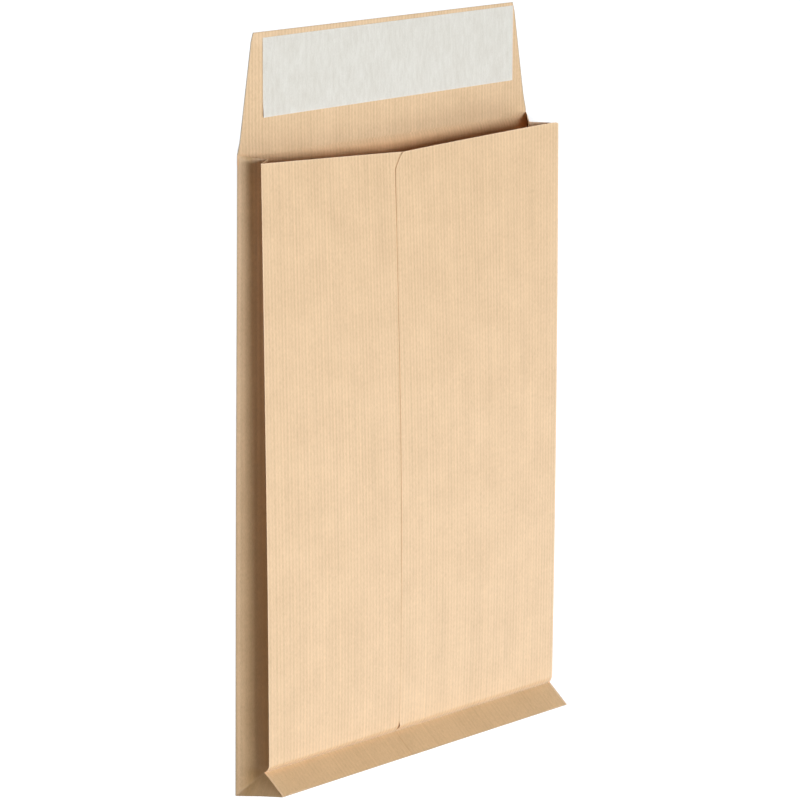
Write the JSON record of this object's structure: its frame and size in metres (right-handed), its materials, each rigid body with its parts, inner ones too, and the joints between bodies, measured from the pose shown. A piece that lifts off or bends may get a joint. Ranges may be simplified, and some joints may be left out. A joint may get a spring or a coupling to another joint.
{
  "type": "gusseted paper envelope",
  "caption": "Expanding kraft paper envelope with side gussets, a folded block bottom, a lapped centre seam and an open tapered flap, its adhesive band covered by a release strip.",
  "frame": {"origin": "bottom centre of the bounding box: on the outer face of the address side, half way across the envelope and half way from the bottom edge to the flap's tip", "axes": "+Z from the address side up to the seamed front, +Y from the bottom edge to the mouth and the flap, +X to the right seen from the seamed front"},
  "size_m": [0.229, 0.385, 0.0322],
  "materials": {
    "kraft_paper": "matte",
    "adhesive": "satin",
    "release_paper": "satin"
  },
  "bodies": {
    "root": {"envelope_paper": "kraft_paper", "adhesive_band": "adhesive", "release_strip": "release_paper"}
  },
  "joints": []
}
